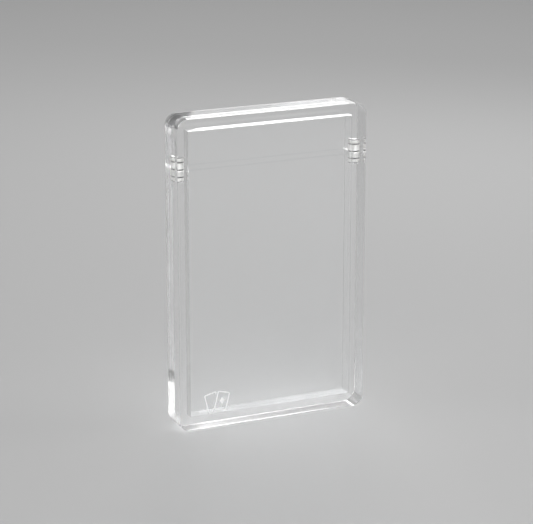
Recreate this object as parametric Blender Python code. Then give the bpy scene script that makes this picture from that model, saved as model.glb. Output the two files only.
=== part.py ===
"""Slim clear acrylic case for one graded trading card slab, with a lift-off cap held by magnets.

Metres, +Z up. X runs across the width, Y from the front (-) to the back (+), and the
origin is at the middle of the underside. The body and the cap are each bonded from a
front sheet, a back sheet and straight bars between them. Discs in blind pockets in the
side bars face each other across the parting plane.
"""

import bmesh
import bpy
from mathutils import Vector

# Overall size
WIDTH = 0.0955
DEPTH = 0.0156
HEIGHT = 0.150
PARTING_HEIGHT = 0.1259

# Acrylic stock
SHEET = 0.004
WALL = 0.0062
CORNER_RADIUS = 0.0056
CORNER_SEGMENTS = 10
EDGE_EASE = 0.0003
EDGE_SEGMENTS = 2

# Space left between touching pieces: each bond line, and the parting gap under the cap
GAP = 0.0003

# Magnet discs, two in each pocket, and the pocket that holds them
MAGNET_RADIUS = 0.002
MAGNET_CHAMFER = 0.00015
MAGNET_SIDES = 32
PARTING_MAGNET = 0.003
END_MAGNET = 0.002
MAGNET_CLEARANCE = 0.0002
POCKET_RADIUS = MAGNET_RADIUS + MAGNET_CLEARANCE
POCKET_DEPTH = PARTING_MAGNET + END_MAGNET + 2 * MAGNET_CLEARANCE + GAP
CUTTER_OVERRUN = 0.001

# Derived sizes
BAR_DEPTH = DEPTH - 2 * SHEET - 2 * GAP
CROSS_BAR_LENGTH = WIDTH - 2 * WALL - 2 * GAP
BAR_OFFSET = (WIDTH - WALL) / 2
SHEET_OFFSET = (DEPTH - SHEET) / 2
BODY_TOP = PARTING_HEIGHT - GAP / 2
CAP_BOTTOM = PARTING_HEIGHT + GAP / 2

ON_PLANE = 1e-6
SIDES = {"left": -1, "right": 1}
FACES = {"front": -1, "back": 1}


def clear_scene():
    for obj in list(bpy.data.objects):
        bpy.data.objects.remove(obj, do_unlink=True)


def new_collection(name):
    collection = bpy.data.collections.new(name)
    bpy.context.scene.collection.children.link(collection)
    return collection


def principled(name, colour, roughness, metallic, transmission, ior):
    material = bpy.data.materials.new(name)
    material.use_nodes = True
    shader = material.node_tree.nodes["Principled BSDF"]
    shader.inputs["Base Color"].default_value = (*colour, 1.0)
    shader.inputs["Roughness"].default_value = roughness
    shader.inputs["Metallic"].default_value = metallic
    shader.inputs["Transmission Weight"].default_value = transmission
    shader.inputs["IOR"].default_value = ior
    return material


def clear_acrylic(name):
    return principled(name, (0.97, 0.98, 0.98), 0.03, 0.0, 1.0, 1.49)


def nickel_plate(name):
    return principled(name, (0.74, 0.73, 0.70), 0.22, 1.0, 0.0, 1.45)


def add_object(name, bm, centre, material, collection, parent=None):
    """Link a finished bmesh as an object whose origin is at centre, given in world space."""
    mesh = bpy.data.meshes.new(name)
    bm.to_mesh(mesh)
    bm.free()
    obj = bpy.data.objects.new(name, mesh)
    collection.objects.link(obj)
    obj.location = Vector(centre)
    if parent:
        obj.parent = parent
        obj.location -= parent.location
    if material:
        mesh.materials.append(material)
    return obj


def block(size):
    bm = bmesh.new()
    bmesh.ops.create_cube(bm, size=1.0)
    bmesh.ops.scale(bm, vec=size, verts=bm.verts)
    return bm


def on_plane(edge, axis, value):
    return all(abs(vert.co[axis] - value) < ON_PLANE for vert in edge.verts)


def bevel(bm, edges, width, segments):
    bmesh.ops.bevel(
        bm, geom=edges, offset=width, segments=segments, profile=0.5, affect="EDGES"
    )


def round_outer_corners(bm, size, end, sides):
    """Round the corners at one end (+1 top, -1 bottom) of a block, on the sides listed."""
    corners = [
        edge
        for edge in bm.edges
        for side in sides
        if on_plane(edge, 0, side * size[0] / 2) and on_plane(edge, 2, end * size[2] / 2)
    ]
    bevel(bm, corners, CORNER_RADIUS, CORNER_SEGMENTS)


def add_sheet(name, face, low, high, end, collection, parent=None):
    """A flat sheet with two rounded corners, its outer edges eased except at the parting."""
    size = Vector((WIDTH, SHEET, high - low))
    bm = block(size)
    round_outer_corners(bm, size, end, SIDES.values())
    outer_edges = [
        edge
        for edge in bm.edges
        if on_plane(edge, 1, face * SHEET / 2) and not on_plane(edge, 2, -end * size.z / 2)
    ]
    bevel(bm, outer_edges, EDGE_EASE, EDGE_SEGMENTS)
    centre = (0, face * SHEET_OFFSET, (low + high) / 2)
    return add_object(name, bm, centre, clear_acrylic(name), collection, parent)


def add_cross_bar(name, low, collection, parent=None):
    bm = block((CROSS_BAR_LENGTH, BAR_DEPTH, WALL))
    return add_object(name, bm, (0, 0, low + WALL / 2), clear_acrylic(name), collection, parent)


def cylinder(radius, height, sides):
    bm = bmesh.new()
    bmesh.ops.create_cone(
        bm, cap_ends=True, segments=sides, radius1=radius, radius2=radius, depth=height
    )
    return bm


def add_side_bar(name, side, low, high, end, collection, cutters, parent=None):
    """A straight bar with one rounded corner and a blind magnet pocket in its parting face."""
    size = Vector((WALL, BAR_DEPTH, high - low))
    bm = block(size)
    round_outer_corners(bm, size, end, [side])
    centre = Vector((side * BAR_OFFSET, 0, (low + high) / 2))
    bar = add_object(name, bm, centre, clear_acrylic(name), collection, parent)

    cutter_height = POCKET_DEPTH + CUTTER_OVERRUN
    parting_face = high if end < 0 else low
    pocket_centre = parting_face + end * (POCKET_DEPTH - CUTTER_OVERRUN) / 2
    cutter = add_object(
        f"{name}_pocket_cutter",
        cylinder(POCKET_RADIUS, cutter_height, MAGNET_SIDES),
        (centre.x, 0, pocket_centre),
        None,
        cutters,
        parent,
    )
    cutter.hide_render = True
    cutter.display_type = "WIRE"
    pocket = bar.modifiers.new("magnet_pocket", "BOOLEAN")
    pocket.operation = "DIFFERENCE"
    pocket.solver = "EXACT"
    pocket.object = cutter
    return bar


def add_magnet(name, side, low, height, collection, parent=None):
    bm = cylinder(MAGNET_RADIUS, height, MAGNET_SIDES)
    rims = [edge for edge in bm.edges for end in (-1, 1) if on_plane(edge, 2, end * height / 2)]
    bevel(bm, rims, MAGNET_CHAMFER, 1)
    magnet = add_object(
        name, bm, (side * BAR_OFFSET, 0, low + height / 2), nickel_plate(name), collection, parent
    )
    magnet.data.shade_smooth()
    magnet.data.set_sharp_from_angle(angle=0.6)
    return magnet


def add_magnet_pair(prefix, side, parting_face, end, collection, parent=None):
    """A thick disc at the parting face and a thin one behind it, stacked towards end."""
    stack = (
        ("parting_magnet", PARTING_MAGNET, MAGNET_CLEARANCE),
        ("end_magnet", END_MAGNET, 2 * MAGNET_CLEARANCE + PARTING_MAGNET),
    )
    for label, height, depth in stack:
        centre = parting_face + end * (depth + height / 2)
        add_magnet(f"{prefix}_{label}", side, centre - height / 2, height, collection, parent)


def build_half(prefix, low, high, end, parts, cutters, parent=None):
    """One half of the case: end is -1 for the body, closed below, and +1 for the cap."""
    for face_name, face in FACES.items():
        add_sheet(f"{prefix}_{face_name}_sheet", face, low, high, end, parts, parent)

    closed_bar = "bottom_bar" if end < 0 else "top_bar"
    closed_low = low if end < 0 else high - WALL
    add_cross_bar(f"{prefix}_{closed_bar}", closed_low, parts, parent)

    parting_face = high if end < 0 else low
    for side_name, side in SIDES.items():
        name = f"{prefix}_{side_name}"
        add_side_bar(f"{name}_bar", side, low, high, end, parts, cutters, parent)
        add_magnet_pair(name, side, parting_face, end, parts, parent)


def main():
    clear_scene()
    parts = new_collection("acrylic_slab_case")
    cutters = new_collection("cutters")
    cutters.hide_render = True

    build_half("body", 0.0, BODY_TOP, -1, parts, cutters)

    # The cap lifts straight up from this point on the parting plane
    cap_lift = bpy.data.objects.new("cap_lift", None)
    cap_lift.location = (0, 0, PARTING_HEIGHT)
    parts.objects.link(cap_lift)
    build_half("cap", CAP_BOTTOM, HEIGHT, 1, parts, cutters, cap_lift)


main()
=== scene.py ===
"""Visual model of the slim clear acrylic slab case: shells, magnets, etched mark, light and camera.

Everything is in metres in the CAD frame: X to the right, Y to the back, Z up, standing on Z = 0.
"""

import math

import bmesh
import bpy
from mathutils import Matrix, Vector


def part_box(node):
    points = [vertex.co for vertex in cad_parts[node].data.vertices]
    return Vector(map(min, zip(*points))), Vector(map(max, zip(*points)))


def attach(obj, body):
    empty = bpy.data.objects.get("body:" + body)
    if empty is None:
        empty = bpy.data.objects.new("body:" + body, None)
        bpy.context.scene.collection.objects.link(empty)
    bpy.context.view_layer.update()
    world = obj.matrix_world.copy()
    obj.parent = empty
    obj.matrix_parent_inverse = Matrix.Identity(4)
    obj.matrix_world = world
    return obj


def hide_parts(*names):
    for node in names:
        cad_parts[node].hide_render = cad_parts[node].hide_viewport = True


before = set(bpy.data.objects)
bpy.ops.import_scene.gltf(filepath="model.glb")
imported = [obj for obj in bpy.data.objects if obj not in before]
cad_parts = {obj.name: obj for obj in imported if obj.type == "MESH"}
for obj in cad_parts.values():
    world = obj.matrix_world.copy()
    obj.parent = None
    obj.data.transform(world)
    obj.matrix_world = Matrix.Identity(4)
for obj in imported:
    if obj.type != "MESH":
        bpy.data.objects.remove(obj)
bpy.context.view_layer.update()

# Outer form of the bonded, machined and polished halves
CORNER_RADIUS = 0.0056
CORNER_SEGMENTS = 32
EASE = 0.0003
EASE_SEGMENTS = 4
BOND_GROOVE_DEPTH = 0.00004
BOND_GROOVE_WIDTH = 0.00016
PARTING_GAP = 0.00004

# Cement: its meniscus along the inner corners, and its hold on the magnets, with no air between
MENISCUS = 0.0003
MENISCUS_SEGMENTS = 4
CEMENT_OVERLAP = 0.00003
MAGNET_COVER = 0.0001
POCKET_END_ROOM = 0.0003

# Magnet discs
ROUND_SIDES = 72
MAGNET_RIM = 0.00022
MAGNET_RIM_SEGMENTS = 4
DISC_GAP = 0.0002

# Mesh tolerances: how far a cutter passes an open end, how near a plane counts as on it, the
# least part of a normal along an axis that counts as facing it, and the largest smoothed angle
OVERRUN = 0.001
ON_PLANE = 2e-6
FLAT = 0.99
SMOOTH_BELOW = math.radians(26)

# Etched mark: two fanned cards and a diamond, low on the left of the body's front
MARK_CENTRE = (-0.0290, 0.0132)
MARK_DEPTH = 0.00012
MARK_STROKE = 0.00056
MARK_CORNER_SEGMENTS = 6
CARD_SIZE = (0.0064, 0.0092)
CARD_CORNER = 0.0009
CARD_SPREAD = 0.0025
CARD_TILT = math.radians(14)
DIAMOND_SIZE = (0.0025, 0.0036)

# Acrylic. A finish has the repeats per metre on each axis of its finest marks and their height,
# and haze is the part of the light that scatters at the surface
ACRYLIC_IOR = 1.491
ACRYLIC_TINT = (0.989, 0.991, 0.992)
PARTING_TINT = (0.96, 0.965, 0.97)
FACE_FINISH = {
    "grain": (40.0, 40.0, 40.0),
    "height": 0.000001,
    "rough_range": (0.0, 0.14),
    "haze": 0.006,
    "worn": True,
}
POLISHED_EDGE_FINISH = {
    "grain": (60.0, 2600.0, 60.0),
    "height": 0.0000016,
    "rough_range": (0.03, 0.13),
    "haze": 0.006,
}
INNER_EDGE_FINISH = {
    "grain": (120.0, 2400.0, 120.0),
    "height": 0.0000012,
    "rough_range": (0.0, 0.06),
    "haze": 0.012,
}
PARTING_GRAIN = (900.0, 900.0, 900.0)
HAIRLINE_REPEATS = (22.0, 22.0, 2600.0)
HAIRLINE_BAND = (0.62, 0.7)
HAIRLINE_TURNS = (math.radians(27), math.radians(-58))
ETCH_GRAIN = (9000.0, 9000.0, 9000.0)
ETCH_TONES = ((1.0, 1.0, 1.0), (0.9, 0.9, 0.91))
ETCH_HEIGHT = 0.00002

# What a lamp's light keeps on its way through one surface, square on and at a grazing angle
LAMP_TINTS = ((0.935, 0.94, 0.945), (0.6, 0.61, 0.62))
GRAZING_RANGE = (0.6, 1.0)

# Nickel plate: brightest and darkest tone of its streaks, the streaks' repeats per metre and
# height, and how light and how rough the sides are, and the rims and ends, whose lower lightness is
# painted shade for the dark lines between the discs
NICKEL_TONES = ((0.95, 0.945, 0.93), (0.8, 0.795, 0.78))
NICKEL_STREAKS = (2600.0, 2600.0, 220.0)
NICKEL_HEIGHT = 0.000004
SIDE_PLATE = (1.0, (0.5, 0.66))
PAINTED_SHADE_END_PLATE = (0.35, (0.8, 0.95))

# Studio floor
FLOOR_HALF_SIZE = 4.0
FLOOR_DROP = 0.0001
FLOOR_GREY = 0.5
FLOOR_ROUGHNESS = 0.35
FLOOR_SPECULAR = 0.06

# Studio light: the surround fades to the overhead strength above its elevation. Softboxes are
# azimuth from the front towards the right, elevation, distance, width, height and watts
SURROUND = 0.42
OVERHEAD = 0.08
OVERHEAD_FROM = math.radians(30)
SOFTBOX_AIM = Vector((0.0, 0.0, 0.06))
SOFTBOXES = {
    "high_back": (156, 45, 1.6, 0.55, 0.55, 6),
    "right_back": (140, 33.5, 0.72, 0.52, 0.4, 0.85),
    "right_front": (24, 16, 1.6, 0.55, 0.55, 1.6),
    "front_left": (-30, 35, 1.6, 1.3, 0.8, 14),
    "right": (70, 35, 1.6, 0.55, 0.55, 4),
    "left": (-105, 22, 1.6, 0.55, 0.55, 3),
}

# Camera, in front on the left and a little above, with a long lens
CAMERA_AZIMUTH = -24.31
CAMERA_ELEVATION = 16.33
CAMERA_DISTANCE = 1.0204
CAMERA_AIM = Vector((0.0, 0.0, 0.0759))
CAMERA_LENS = 146.39
CAMERA_SENSOR = 36.0
CAMERA_CLIP_START = 0.01

# Light paths through the thick acrylic turn many times
MAX_BOUNCES = 40
TRANSMISSION_BOUNCES = 36
GLOSSY_BOUNCES = 24
TRANSPARENT_BOUNCES = 24


# Boxes from the CAD nodes

def union_box(names):
    boxes = [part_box(name) for name in names]
    low = Vector([min(box[0][axis] for box in boxes) for axis in range(3)])
    high = Vector([max(box[1][axis] for box in boxes) for axis in range(3)])
    return low, high


def nodes_of(prefix, word):
    return [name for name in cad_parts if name.startswith(prefix) and word in name]


# Mesh helpers

def block(low, high):
    bm = bmesh.new()
    bmesh.ops.create_cube(bm, size=1.0)
    bmesh.ops.scale(bm, vec=high - low, verts=bm.verts)
    bmesh.ops.translate(bm, vec=(low + high) / 2, verts=bm.verts)
    return bm


def on_plane(item, axis, value):
    return all(abs(vert.co[axis] - value) < ON_PLANE for vert in item.verts)


def bevel(bm, edges, width, segments):
    bmesh.ops.bevel(
        bm, geom=edges, offset=width, segments=segments, profile=0.5, affect="EDGES"
    )


def new_object(name, bm):
    mesh = bpy.data.meshes.new(name)
    bm.to_mesh(mesh)
    bm.free()
    obj = bpy.data.objects.new(name, mesh)
    bpy.context.scene.collection.objects.link(obj)
    return obj


def loft(rings, closed=False):
    """A closed solid through rings of points, all of the same count.

    It has flat ends, or where closed is true its last ring joins its first.
    """
    bm = bmesh.new()
    loops = [[bm.verts.new(point) for point in ring] for ring in rings]
    for first, second in zip(loops, loops[1:] + loops[:1] if closed else loops[1:]):
        for i in range(len(first)):
            j = (i + 1) % len(first)
            bm.faces.new((first[i], first[j], second[j], second[i]))
    if not closed:
        bm.faces.new(reversed(loops[0]))
        bm.faces.new(loops[-1])
    bmesh.ops.recalc_face_normals(bm, faces=bm.faces)
    return bm


def cut(obj, cutters):
    """Cut every cutter from obj, then remove the cutters."""
    for cutter in cutters:
        modifier = obj.modifiers.new("cut", "BOOLEAN")
        modifier.operation = "DIFFERENCE"
        modifier.solver = "EXACT"
        modifier.object = cutter
    depsgraph = bpy.context.evaluated_depsgraph_get()
    mesh = bpy.data.meshes.new_from_object(obj.evaluated_get(depsgraph))
    mesh.name = obj.name
    obj.modifiers.clear()
    obj.data = mesh
    for cutter in cutters:
        bpy.data.objects.remove(cutter, do_unlink=True)


def smooth(obj):
    """Smooth shading that keeps flat faces flat and edges sharp."""
    obj.data.shade_smooth()
    obj.data.set_sharp_from_angle(angle=SMOOTH_BELOW)
    weighted = obj.modifiers.new("flat_faces_stay_flat", "WEIGHTED_NORMAL")
    weighted.keep_sharp = True
    weighted.weight = 100


# Node helpers

def add_node(material, kind, **inputs):
    node = material.node_tree.nodes.new(kind)
    for name, value in inputs.items():
        node.inputs[name.replace("_", " ")].default_value = value
    return node


def link(material, output, socket):
    material.node_tree.links.new(output, socket)


def new_material(name):
    material = bpy.data.materials.new(name)
    material.use_nodes = True
    return material, material.node_tree.nodes["Principled BSDF"]


def noise(material, repeats, detail=4.0, turn=0.0):
    """Noise with its own repeats per metre along each axis, turned about Y by turn."""
    place = add_node(material, "ShaderNodeTexCoord")
    mapping = add_node(material, "ShaderNodeMapping", Scale=repeats, Rotation=(0.0, turn, 0.0))
    texture = add_node(material, "ShaderNodeTexNoise", Scale=1.0, Detail=detail, Roughness=0.6)
    link(material, place.outputs["Object"], mapping.inputs["Vector"])
    link(material, mapping.outputs["Vector"], texture.inputs["Vector"])
    return texture.outputs["Fac"]


def remap(material, socket, from_range, to_range):
    node = add_node(
        material,
        "ShaderNodeMapRange",
        From_Min=from_range[0],
        From_Max=from_range[1],
        To_Min=to_range[0],
        To_Max=to_range[1],
    )
    link(material, socket, node.inputs["Value"])
    return node.outputs["Result"]


def mix_colours(material, socket, first, second):
    """The colour first where socket is 0 and second where it is 1."""
    node = material.node_tree.nodes.new("ShaderNodeMix")
    node.data_type = "RGBA"
    factor, a, b = (
        next(s for s in node.inputs if s.identifier == wanted)
        for wanted in ("Factor_Float", "A_Color", "B_Color")
    )
    a.default_value = (*first, 1.0)
    b.default_value = (*second, 1.0)
    link(material, socket, factor)
    return next(s for s in node.outputs if s.identifier == "Result_Color")


def add_bump(material, shader, socket, height):
    node = add_node(material, "ShaderNodeBump", Distance=height, Strength=1.0)
    link(material, socket, node.inputs["Height"])
    link(material, node.outputs["Normal"], shader.inputs["Normal"])


def let_lamps_through(material, shader):
    """Lamps reach what is behind a clear wall, less so through a wall that they graze."""
    path = add_node(material, "ShaderNodeLightPath")
    graze = add_node(material, "ShaderNodeLayerWeight", Blend=0.5)
    lost = remap(material, graze.outputs["Facing"], GRAZING_RANGE, (0.0, 1.0))
    passing = add_node(material, "ShaderNodeBsdfTransparent")
    tint = mix_colours(material, lost, *LAMP_TINTS)
    link(material, tint, passing.inputs["Color"])
    mixed = material.node_tree.nodes.new("ShaderNodeMixShader")
    output = material.node_tree.nodes["Material Output"]
    link(material, path.outputs["Is Shadow Ray"], mixed.inputs[0])
    link(material, shader.outputs["BSDF"], mixed.inputs[1])
    link(material, passing.outputs["BSDF"], mixed.inputs[2])
    link(material, mixed.outputs["Shader"], output.inputs["Surface"])


def hairlines(material, rough_range):
    """Roughness from a few fine wiping marks in two directions."""
    total = None
    for turn in HAIRLINE_TURNS:
        streaks = noise(material, HAIRLINE_REPEATS, detail=2.0, turn=turn)
        marks = remap(material, streaks, HAIRLINE_BAND, rough_range)
        if total is None:
            total = marks
        else:
            larger = material.node_tree.nodes.new("ShaderNodeMath")
            larger.operation = "MAXIMUM"
            link(material, total, larger.inputs[0])
            link(material, marks, larger.inputs[1])
            total = larger.outputs["Value"]
    return total


def acrylic(name, grain, height, rough_range, haze, worn=False):
    """Water-clear acrylic with one of the finishes, and with wiping marks where it is worn."""
    material, shader = new_material(name)
    shader.inputs["Base Color"].default_value = (*ACRYLIC_TINT, 1.0)
    shader.inputs["Transmission Weight"].default_value = 1.0 - haze
    shader.inputs["IOR"].default_value = ACRYLIC_IOR
    fine = noise(material, grain)
    if worn:
        finish = hairlines(material, rough_range)
    else:
        finish = remap(material, fine, (0.35, 0.7), rough_range)
    link(material, finish, shader.inputs["Roughness"])
    add_bump(material, shader, fine, height)
    let_lamps_through(material, shader)
    return material


def parting_acrylic():
    """Where the halves' sheets meet: so flat and close that little light turns back there."""
    material, shader = new_material("acrylic_parting_face")
    shader.inputs["Base Color"].default_value = (*PARTING_TINT, 1.0)
    shader.inputs["Transmission Weight"].default_value = 1.0
    shader.inputs["IOR"].default_value = 1.0
    fine = noise(material, PARTING_GRAIN)
    link(material, remap(material, fine, (0.3, 0.7), (0.0, 0.08)), shader.inputs["Roughness"])
    let_lamps_through(material, shader)
    return material


def etched_acrylic():
    """The frosted floor and walls of the etched mark."""
    material, shader = new_material("acrylic_etched")
    shader.inputs["IOR"].default_value = ACRYLIC_IOR
    grain = noise(material, ETCH_GRAIN)
    tone = mix_colours(material, grain, *ETCH_TONES)
    link(material, tone, shader.inputs["Base Color"])
    link(material, remap(material, grain, (0.3, 0.7), (0.7, 0.95)), shader.inputs["Roughness"])
    add_bump(material, shader, grain, ETCH_HEIGHT)
    return material


def magnet_metal(name, lightness, rough_range):
    """Satin nickel with fine upright streaks, its tone scaled by lightness."""
    material, shader = new_material(name)
    shader.inputs["Metallic"].default_value = 1.0
    fine = noise(material, NICKEL_STREAKS)
    bright, dark = ([lightness * part for part in tone] for tone in NICKEL_TONES)
    tone = mix_colours(material, remap(material, fine, (0.35, 0.65), (0.0, 1.0)), bright, dark)
    link(material, tone, shader.inputs["Base Color"])
    link(material, remap(material, fine, (0.3, 0.7), rough_range), shader.inputs["Roughness"])
    add_bump(material, shader, fine, NICKEL_HEIGHT)
    return material


def pale_floor():
    material, shader = new_material("pale_floor")
    shader.inputs["Base Color"].default_value = (FLOOR_GREY, FLOOR_GREY, FLOOR_GREY, 1.0)
    shader.inputs["Roughness"].default_value = FLOOR_ROUGHNESS
    shader.inputs["Specular IOR Level"].default_value = FLOOR_SPECULAR
    return material


# Pieces

def half_outline(low, high, end, inset):
    """The outline in X and Z of one half, moved in by inset except at its parting face."""
    radius = CORNER_RADIUS - inset
    parting, closed = (low.z, high.z) if end > 0 else (high.z, low.z)
    points = [(high.x - inset, parting)]
    for side, start in ((1, 0.0), (-1, 90.0)):
        centre_x = (high.x if side > 0 else low.x) - side * CORNER_RADIUS
        centre_z = closed - end * CORNER_RADIUS
        for step in range(CORNER_SEGMENTS + 1):
            angle = math.radians(start + 90.0 * step / CORNER_SEGMENTS)
            points.append(
                (
                    centre_x + radius * math.cos(angle),
                    centre_z + end * radius * math.sin(angle),
                )
            )
    points.append((low.x + inset, parting))
    return points


def depth_stations(low_y, high_y, bonds):
    """(y, inset) pairs from front to back: an eased rim, a hairline at each bond, an eased rim."""
    rim = []
    for step in range(EASE_SEGMENTS + 1):
        angle = math.radians(90.0 * step / EASE_SEGMENTS)
        rim.append((EASE * (1 - math.sin(angle)), EASE * (1 - math.cos(angle))))
    stations = [(low_y + inset, depth) for depth, inset in rim]
    for bond in bonds:
        for offset, inset in ((-1, 0.0), (0, BOND_GROOVE_DEPTH), (1, 0.0)):
            stations.append((bond + offset * BOND_GROOVE_WIDTH / 2, inset))
    stations += [(high_y - inset, depth) for depth, inset in reversed(rim)]
    return stations


def cavity_cutter(name, low, high):
    bm = block(low, high)
    corners = [edge for edge in bm.edges if on_plane(edge, 1, low.y) or on_plane(edge, 1, high.y)]
    bevel(bm, corners, MENISCUS, MENISCUS_SEGMENTS)
    return new_object(name, bm)


def pocket_cutter(prefix, side, parting_face, end):
    """The blind bore around one stack of magnets, potted over at its mouth, with end +1 for up."""
    low, high = union_box(nodes_of(f"{prefix}_{side}", "magnet"))
    radius = (high.x - low.x) / 2 - CEMENT_OVERLAP
    far = (high.z if end > 0 else low.z) + end * POCKET_END_ROOM
    near = parting_face + end * (MAGNET_COVER + CEMENT_OVERLAP)
    bm = bmesh.new()
    bmesh.ops.create_cone(
        bm,
        cap_ends=True,
        segments=ROUND_SIDES,
        radius1=radius,
        radius2=radius,
        depth=abs(far - near),
    )
    centre = Vector(((low.x + high.x) / 2, (low.y + high.y) / 2, (far + near) / 2))
    bmesh.ops.translate(bm, vec=centre, verts=bm.verts)
    return new_object(f"{prefix}_{side}_pocket_cutter", bm)


def card_outline(centre, tilt, inset):
    """A playing card's outline in X and Z, moved in by inset."""
    radius = CARD_CORNER - inset
    points = []
    for corner, (side, end) in enumerate(((1, 1), (-1, 1), (-1, -1), (1, -1))):
        middle_x = side * (CARD_SIZE[0] / 2 - CARD_CORNER)
        middle_z = end * (CARD_SIZE[1] / 2 - CARD_CORNER)
        for step in range(MARK_CORNER_SEGMENTS + 1):
            angle = math.radians(90.0 * (corner + step / MARK_CORNER_SEGMENTS))
            x = middle_x + radius * math.cos(angle)
            z = middle_z + radius * math.sin(angle)
            points.append(
                (
                    centre[0] + x * math.cos(tilt) + z * math.sin(tilt),
                    centre[1] - x * math.sin(tilt) + z * math.cos(tilt),
                )
            )
    return points


def diamond_outline(centre):
    half_x, half_z = (size / 2 for size in DIAMOND_SIZE)
    offsets = ((half_x, 0), (0, half_z), (-half_x, 0), (0, -half_z))
    return [(centre[0] + x, centre[1] + z) for x, z in offsets]


def mark_cutters(face_y):
    """Shallow solids that etch the mark into the face at face_y."""
    front_y, back_y = face_y - MARK_DEPTH, face_y + MARK_DEPTH

    def ring(outline, y):
        return [(x, y, z) for x, z in outline]

    def line(name, outer, inner):
        corners = ((outer, front_y), (outer, back_y), (inner, back_y), (inner, front_y))
        return new_object(name, loft([ring(*corner) for corner in corners], closed=True))

    back_centre = (MARK_CENTRE[0] - CARD_SPREAD, MARK_CENTRE[1])
    front_centre = (MARK_CENTRE[0] + CARD_SPREAD, MARK_CENTRE[1])
    back_card, front_card = (
        line(
            f"mark_{name}_card_cutter",
            card_outline(centre, tilt, 0.0),
            card_outline(centre, tilt, MARK_STROKE),
        )
        for name, centre, tilt in (
            ("back", back_centre, -CARD_TILT),
            ("front", front_centre, CARD_TILT),
        )
    )
    cover = card_outline(front_centre, CARD_TILT, -MARK_STROKE)
    past = (front_y - MARK_DEPTH, back_y + MARK_DEPTH)
    cut(back_card, [new_object("mark_cover_cutter", loft([ring(cover, y) for y in past]))])
    diamond = diamond_outline(front_centre)
    pip = new_object("mark_diamond_cutter", loft([ring(diamond, y) for y in (front_y, back_y)]))
    return [back_card, front_card, pip]


def split_parting_face(shell, height, bar_edge):
    """Divide the parting face where each side bar begins."""
    bm = bmesh.new()
    bm.from_mesh(shell.data)
    for side in (-1, 1):
        faces = [face for face in bm.faces if on_plane(face, 2, height)]
        edges = {edge for face in faces for edge in face.edges}
        verts = {vert for face in faces for vert in face.verts}
        bmesh.ops.bisect_plane(
            bm,
            geom=[*verts, *edges, *faces],
            plane_co=(side * bar_edge, 0.0, 0.0),
            plane_no=(1.0, 0.0, 0.0),
        )
    bm.to_mesh(shell.data)
    bm.free()


def build_shell(prefix, end, parting_face, clear, marked=False):
    """One bonded half, as the single clear mass that its cemented sheets and bars make."""
    sheets = nodes_of(prefix, "sheet")
    bars = nodes_of(prefix, "_bar")
    low, high = union_box(sheets + bars)
    if end > 0:
        low.z = parting_face
    else:
        high.z = parting_face
    left, right = (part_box(f"{prefix}_{side}_bar") for side in ("left", "right"))
    front, back = (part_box(f"{prefix}_{face}_sheet") for face in ("front", "back"))
    closed_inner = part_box("cap_top_bar")[0].z if end > 0 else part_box("body_bottom_bar")[1].z

    rings = [
        [(x, y, z) for x, z in half_outline(low, high, end, inset)]
        for y, inset in depth_stations(low.y, high.y, (front[1].y, back[0].y))
    ]
    shell = new_object(f"{prefix}_shell", loft(rings))

    past_parting = parting_face - end * OVERRUN
    room_low = Vector((left[1].x, front[1].y, min(past_parting, closed_inner)))
    room_high = Vector((right[0].x, back[0].y, max(past_parting, closed_inner)))
    cavity = cavity_cutter(f"{prefix}_cavity_cutter", room_low, room_high)
    pockets = [pocket_cutter(prefix, side, parting_face, end) for side in ("left", "right")]
    marks = mark_cutters(low.y) if marked else []
    cut(shell, [cavity, *pockets, *marks])
    split_parting_face(shell, parting_face, right[0].x)

    for material in clear.values():
        shell.data.materials.append(material)
    slots = {name: index for index, name in enumerate(clear)}
    for face in shell.data.polygons:
        at_rim = abs(face.center.x) > high.x - CORNER_RADIUS / 2
        past_inner = (face.center.z - closed_inner) * end > ON_PLANE
        etched = low.y + ON_PLANE < face.center.y < low.y + MARK_DEPTH + ON_PLANE
        if abs(face.center.z - parting_face) < ON_PLANE:
            kind = "parting" if abs(face.center.x) < right[0].x else "face"
        elif etched and not at_rim and not past_inner:
            kind = "etched"
        elif abs(face.normal.y) > FLAT:
            kind = "face"
        elif at_rim or past_inner:
            kind = "polished_edge"
        else:
            kind = "inner_edge"
        face.material_index = slots[kind]
    smooth(shell)
    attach(shell, prefix)
    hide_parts(*sheets, *bars)
    return shell


def build_magnet(node, plate, bottom, top):
    """A turned disc with a rounded rim from bottom to top, in the place of one CAD magnet.

    plate is the metal of its side, and of its rims and ends, which the cement makes rougher and
    which are painted darker as painted shade for the dark lines between the discs.
    """
    low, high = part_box(node)
    centre = Vector(((low.x + high.x) / 2, (low.y + high.y) / 2, (bottom + top) / 2))
    radius = (high.x - low.x) / 2
    rings = []
    for end in (-1, 1):
        rim = []
        for step in range(MAGNET_RIM_SEGMENTS + 1):
            angle = math.radians(90.0 * step / MAGNET_RIM_SEGMENTS)
            rim.append(
                (
                    radius - MAGNET_RIM * (1 - math.sin(angle)),
                    (top - bottom) / 2 - MAGNET_RIM * (1 - math.cos(angle)),
                )
            )
        rings += [(r, end * z) for r, z in (rim if end < 0 else reversed(rim))]
    turns = [2 * math.pi * step / ROUND_SIDES for step in range(ROUND_SIDES)]
    circle = [Vector((math.cos(turn), math.sin(turn), 0.0)) for turn in turns]
    loops = [[centre + r * point + Vector((0.0, 0.0, z)) for point in circle] for r, z in rings]
    disc = new_object(f"{node}_disc", loft(loops))
    for material in plate:
        disc.data.materials.append(material)
    for face in disc.data.polygons:
        # The rims and ends take the second, darker plate: painted shade for the lines between the
        # discs
        face.material_index = 0 if abs(face.center.z - centre.z) < ON_PLANE else 1
    smooth(disc)
    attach(disc, node.split("_")[0])
    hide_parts(node)
    return disc


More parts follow.
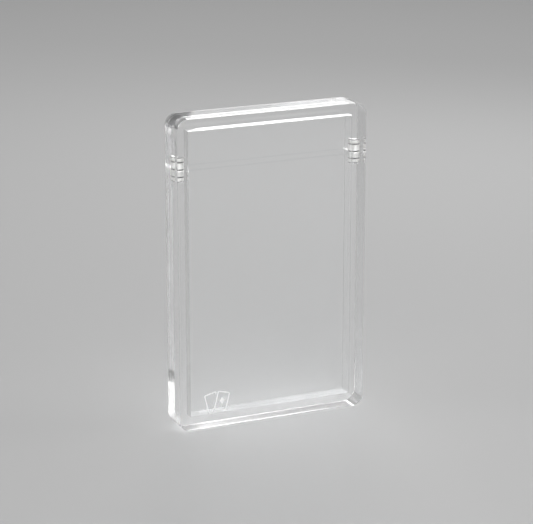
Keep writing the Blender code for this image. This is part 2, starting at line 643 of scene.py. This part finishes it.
def build_stack(prefix, side, plate, parting_face):
    """One half's two discs on one side, from just under its parting face, nearly touching."""
    discs = nodes_of(f"{prefix}_{side}", "magnet")
    lower, upper = sorted(discs, key=lambda node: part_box(node)[0].z)
    bottom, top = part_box(lower)[0].z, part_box(upper)[1].z
    if top < parting_face:
        top = parting_face - MAGNET_COVER
    else:
        bottom = parting_face + MAGNET_COVER
    meeting = (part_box(lower)[1].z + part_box(upper)[0].z) / 2
    build_magnet(lower, plate, bottom, meeting - DISC_GAP / 2)
    build_magnet(upper, plate, meeting + DISC_GAP / 2, top)


def build_floor():
    bm = bmesh.new()
    bmesh.ops.create_grid(bm, x_segments=1, y_segments=1, size=FLOOR_HALF_SIZE)
    floor = new_object("studio_floor", bm)
    floor.location.z = -FLOOR_DROP
    floor.data.materials.append(pale_floor())


def place_round(obj, aim, azimuth, elevation, distance):
    """Put a lamp or camera at azimuth and elevation in degrees round aim, facing it."""
    turn, rise = math.radians(azimuth), math.radians(elevation)
    level = math.cos(rise)
    away = Vector((math.sin(turn) * level, -math.cos(turn) * level, math.sin(rise)))
    bpy.context.scene.collection.objects.link(obj)
    obj.location = aim + distance * away
    obj.rotation_euler = (-away).to_track_quat("-Z", "Y").to_euler()


def build_surround():
    """An even pale surround, dimmer overhead."""
    world = bpy.data.worlds.new("soft_studio")
    bpy.context.scene.world = world
    world.use_nodes = True
    nodes, links = world.node_tree.nodes, world.node_tree.links
    background = nodes["Background"]
    background.inputs["Color"].default_value = (1.0, 1.0, 1.0, 1.0)
    place = nodes.new("ShaderNodeTexCoord")
    split = nodes.new("ShaderNodeSeparateXYZ")
    fade = nodes.new("ShaderNodeMapRange")
    fade.interpolation_type = "SMOOTHSTEP"
    fade.inputs["From Min"].default_value = math.sin(OVERHEAD_FROM)
    fade.inputs["From Max"].default_value = 1.0
    fade.inputs["To Min"].default_value = SURROUND
    fade.inputs["To Max"].default_value = OVERHEAD
    links.new(place.outputs["Generated"], split.inputs["Vector"])
    links.new(split.outputs["Z"], fade.inputs["Value"])
    links.new(fade.outputs["Result"], background.inputs["Strength"])


def build_softboxes():
    """Softboxes round the case, which put the bright lines in its edges."""
    for name, (azimuth, elevation, distance, width, height, watts) in SOFTBOXES.items():
        data = bpy.data.lights.new(f"{name}_softbox", "AREA")
        data.shape = "RECTANGLE"
        data.size, data.size_y = width, height
        data.energy = watts
        lamp = bpy.data.objects.new(f"{name}_softbox", data)
        lamp.visible_camera = False
        place_round(lamp, SOFTBOX_AIM, azimuth, elevation, distance)


def build_camera():
    data = bpy.data.cameras.new("camera")
    data.lens = CAMERA_LENS
    data.sensor_width = CAMERA_SENSOR
    data.clip_start = CAMERA_CLIP_START
    camera = bpy.data.objects.new("camera", data)
    place_round(camera, CAMERA_AIM, CAMERA_AZIMUTH, CAMERA_ELEVATION, CAMERA_DISTANCE)
    bpy.context.scene.camera = camera


def main():
    scene = bpy.context.scene
    scene.view_settings.view_transform = "Standard"
    scene.cycles.max_bounces = MAX_BOUNCES
    scene.cycles.transmission_bounces = TRANSMISSION_BOUNCES
    scene.cycles.glossy_bounces = GLOSSY_BOUNCES
    scene.cycles.transparent_max_bounces = TRANSPARENT_BOUNCES

    clear = {
        "face": acrylic("acrylic_face", **FACE_FINISH),
        "polished_edge": acrylic("acrylic_polished_edge", **POLISHED_EDGE_FINISH),
        "inner_edge": acrylic("acrylic_inner_edge", **INNER_EDGE_FINISH),
        "parting": parting_acrylic(),
        "etched": etched_acrylic(),
    }
    plate = [
        magnet_metal("nickel_plate", *SIDE_PLATE),
        # Rims and ends: rougher under the cement, and darker as painted shade
        magnet_metal("nickel_plate_painted_shade", *PAINTED_SHADE_END_PLATE),
    ]
    body_high = union_box(nodes_of("body", "sheet"))[1]
    cap_low = union_box(nodes_of("cap", "sheet"))[0]
    parting = (body_high.z + cap_low.z) / 2
    for prefix, end in (("body", -1), ("cap", 1)):
        parting_face = parting + end * PARTING_GAP / 2
        build_shell(prefix, end, parting_face, clear, marked=prefix == "body")
        for side in ("left", "right"):
            build_stack(prefix, side, plate, parting_face)

    build_floor()
    build_surround()
    build_softboxes()
    build_camera()


main()
